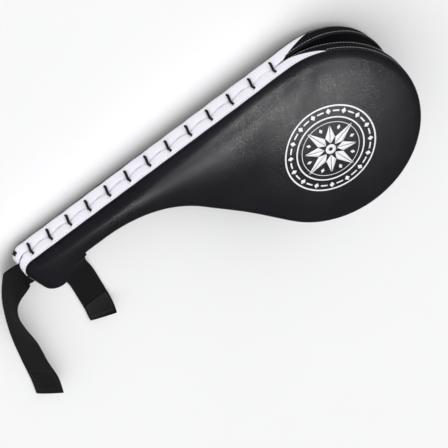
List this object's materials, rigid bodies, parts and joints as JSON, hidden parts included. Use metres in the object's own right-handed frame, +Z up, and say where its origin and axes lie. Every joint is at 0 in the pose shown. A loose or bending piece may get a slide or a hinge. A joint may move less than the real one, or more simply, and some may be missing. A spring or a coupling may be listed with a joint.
{
  "type": "kick paddle",
  "caption": "Padded double-leaf martial-arts kick paddle: round blades on a laced grip with a wrist strap; the blades stand apart and clap when struck.",
  "frame": {"origin": "under the middle of the whole object, on the surface it lies on", "axes": "+X along the laced edge from the butt towards the tip, +Y towards the laced edge, +Z up"},
  "size_m": [0.4484, 0.1934, 0.0863],
  "materials": {
    "black_leather": "semi-gloss fine-grained synthetic leather",
    "white_leather": "smooth satin synthetic leather",
    "foam": "closed-cell foam",
    "core_board": "stiff fibreboard",
    "lacing_cord": "waxed twisted cord",
    "webbing": "plain-woven webbing",
    "hook_and_loop": "matt hook-and-loop tape"
  },
  "bodies": {
    "grip": {"front_grip_board": "core_board", "front_grip_cover": "black_leather", "front_grip_inner_cover": "black_leather", "front_grip_inner_pad": "foam", "front_grip_pad": "foam", "front_grip_side_band": "black_leather", "front_grip_white_band": "white_leather", "front_knob_pad": "foam", "lace_end_knot": "lacing_cord", "lace_stitch_01": "lacing_cord", "lace_stitch_02": "lacing_cord", "lace_stitch_03": "lacing_cord", "lace_stitch_04": "lacing_cord", "lace_stitch_05": "lacing_cord", "lace_stitch_06": "lacing_cord", "lace_stitch_07": "lacing_cord", "lace_stitch_08": "lacing_cord", "lace_stitch_09": "lacing_cord", "lace_stitch_10": "lacing_cord", "lace_stitch_11": "lacing_cord", "lace_stitch_12": "lacing_cord", "lace_stitch_13": "lacing_cord", "rear_grip_board": "core_board", "rear_grip_cover": "black_leather", "rear_grip_inner_cover": "black_leather", "rear_grip_inner_pad": "foam", "rear_grip_pad": "foam", "rear_grip_side_band": "black_leather", "rear_grip_white_band": "white_leather", "rear_knob_pad": "foam", "strap_anchor": "webbing"},
    "front_blade": {"front_blade_board": "core_board", "front_blade_cover": "black_leather", "front_blade_inner_cover": "black_leather", "front_blade_inner_pad": "foam", "front_blade_pad": "foam", "front_blade_side_band": "black_leather", "front_blade_white_tail": "white_leather"},
    "rear_blade": {"rear_blade_board": "core_board", "rear_blade_cover": "black_leather", "rear_blade_inner_cover": "black_leather", "rear_blade_inner_pad": "foam", "rear_blade_pad": "foam", "rear_blade_side_band": "black_leather", "rear_blade_white_tail": "white_leather"},
    "long_tail": {"long_strap": "webbing", "hook_patch": "hook_and_loop"},
    "short_tail": {"short_strap": "webbing", "loop_patch": "hook_and_loop"}
  },
  "joints": [
    {"name": "front_flex", "type": "hinge", "parent": "grip", "child": "front_blade", "pos_m": [0.13352, 0.09306, 0.02941], "axis": [0.6576, 0.7515, -0.053], "range_deg": [-3, 8], "stiffness_Nm_per_rad": 18},
    {"name": "rear_flex", "type": "hinge", "parent": "grip", "child": "rear_blade", "pos_m": [0.13352, 0.09306, 0.02941], "axis": [-0.6576, -0.7515, 0.053], "range_deg": [-3, 8], "stiffness_Nm_per_rad": 18},
    {"name": "long_tail_lift", "type": "hinge", "parent": "grip", "child": "long_tail", "pos_m": [-0.17308, 0.07294, 0.02375], "axis": [-1, 0, 0], "range_deg": [0, 75]},
    {"name": "short_tail_lift", "type": "hinge", "parent": "grip", "child": "short_tail", "pos_m": [-0.12948, 0.04834, 0.027], "axis": [-1, 0, 0], "range_deg": [0, 80]}
  ]
}
